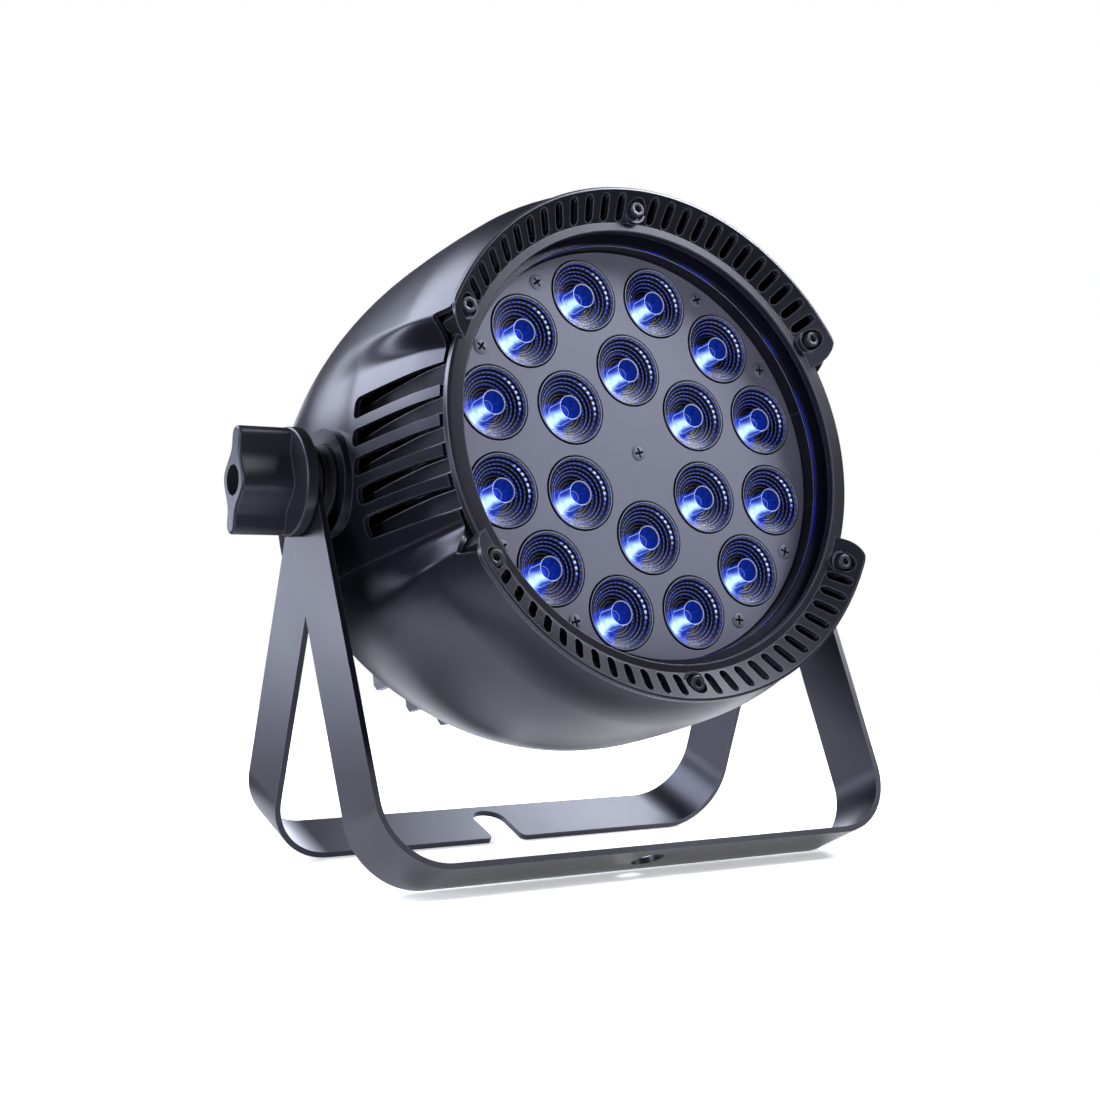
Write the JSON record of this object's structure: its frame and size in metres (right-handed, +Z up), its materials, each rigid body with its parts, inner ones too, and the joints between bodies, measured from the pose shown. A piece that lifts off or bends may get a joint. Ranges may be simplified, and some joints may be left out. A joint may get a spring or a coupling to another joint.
{
  "type": "par can light",
  "caption": "Stage wash light: round black housing in a folding yoke, rings of lenses behind glass, rear control panel with sockets.",
  "frame": {"origin": "on the floor, at the middle of the footprint between the two yokes", "axes": "+Z up; -Y the way the lamp faces; +X to the lamp's right-hand knob, seen from the front"},
  "size_m": [0.33, 0.2342, 0.3044],
  "materials": {
    "bracket_paint": "satin black powder coat, fine texture",
    "shell_paint": "satin black",
    "bezel_paint": "satin black",
    "core_paint": "matt black",
    "bolt_steel": "blackened",
    "plain_steel": "zinc plated",
    "washer_plastic": "matt black",
    "knob_plastic": "moulded, finely textured black",
    "front_glass": "clear tempered glass",
    "gasket_rubber": "matt black",
    "plate_grey": "matt bluish grey",
    "lens_clear": "moulded clear, picks up blue",
    "circuit_board": "solder mask",
    "panel_plastic": "matt black",
    "display_window": "tinted window",
    "supply_metal": "plain folded sheet",
    "socket_blue": "moulded blue",
    "socket_grey": "moulded light grey",
    "button_rubber": "matt black"
  },
  "bodies": {
    "front_bracket": {"front_bracket": "bracket_paint"},
    "rear_bracket": {"rear_bracket": "bracket_paint"},
    "head": {"upper_shell": "shell_paint", "lower_shell": "shell_paint", "front_bezel": "bezel_paint", "bezel_bolt_1": "bolt_steel", "bezel_bolt_2": "bolt_steel", "bezel_bolt_3": "bolt_steel", "bezel_bolt_4": "bolt_steel", "bezel_bolt_5": "bolt_steel", "bezel_bolt_6": "bolt_steel", "front_glass": "front_glass", "glass_gasket": "gasket_rubber", "lens_plate": "plate_grey", "centre_screw": "bolt_steel", "lens_01": "lens_clear", "lens_02": "lens_clear", "lens_03": "lens_clear", "lens_04": "lens_clear", "lens_05": "lens_clear", "lens_06": "lens_clear", "lens_07": "lens_clear", "lens_08": "lens_clear", "lens_09": "lens_clear", "lens_10": "lens_clear", "lens_11": "lens_clear", "lens_12": "lens_clear", "lens_13": "lens_clear", "lens_14": "lens_clear", "lens_15": "lens_clear", "lens_16": "lens_clear", "lens_17": "lens_clear", "lens_18": "lens_clear", "led_board": "circuit_board", "core_housing": "core_paint", "heat_sink": "core_paint", "rear_housing": "shell_paint", "control_panel": "panel_plastic", "display": "display_window", "control_board": "circuit_board", "power_supply": "supply_metal", "power_inlet": "socket_blue", "power_outlet": "socket_grey", "signal_input": "panel_plastic", "signal_output": "panel_plastic", "safety_loop": "plain_steel", "pivot_stud_left": "plain_steel", "pivot_stud_right": "plain_steel", "inner_washer_left": "washer_plastic", "inner_washer_right": "washer_plastic", "outer_washer_left": "washer_plastic", "outer_washer_right": "washer_plastic"},
    "knob_left": {"knob_left": "knob_plastic"},
    "knob_right": {"knob_right": "knob_plastic"},
    "button_menu": {"button_menu": "button_rubber"},
    "button_up": {"button_up": "button_rubber"},
    "button_down": {"button_down": "button_rubber"},
    "button_enter": {"button_enter": "button_rubber"}
  },
  "joints": [
    {"name": "head_tilt", "type": "hinge", "parent": "front_bracket", "child": "head", "pos_m": [0, -0.00178, 0.17186], "axis": [1, 0, 0], "range_deg": [-75, 95]},
    {"name": "rear_bracket_swing", "type": "hinge", "parent": "front_bracket", "child": "rear_bracket", "pos_m": [0, -0.00178, 0.17186], "axis": [1, 0, 0], "range_deg": [-44.2, 30]},
    {"name": "knob_left_turn", "type": "hinge", "parent": "head", "child": "knob_left", "pos_m": [-0.15, -0.00178, 0.17186], "axis": [-1, 0, 0], "continuous": true},
    {"name": "knob_right_turn", "type": "hinge", "parent": "head", "child": "knob_right", "pos_m": [0.15, -0.00178, 0.17186], "axis": [1, 0, 0], "continuous": true},
    {"name": "button_menu_press", "type": "slide", "parent": "head", "child": "button_menu", "axis": [0, -0.9788, 0.205], "range_m": [0, 0.001], "stiffness_N_per_m": 500, "springref_m": -0.001},
    {"name": "button_up_press", "type": "slide", "parent": "head", "child": "button_up", "axis": [0, -0.9788, 0.205], "range_m": [0, 0.001], "stiffness_N_per_m": 500, "springref_m": -0.001},
    {"name": "button_down_press", "type": "slide", "parent": "head", "child": "button_down", "axis": [0, -0.9788, 0.205], "range_m": [0, 0.001], "stiffness_N_per_m": 500, "springref_m": -0.001},
    {"name": "button_enter_press", "type": "slide", "parent": "head", "child": "button_enter", "axis": [0, -0.9788, 0.205], "range_m": [0, 0.001], "stiffness_N_per_m": 500, "springref_m": -0.001}
  ]
}
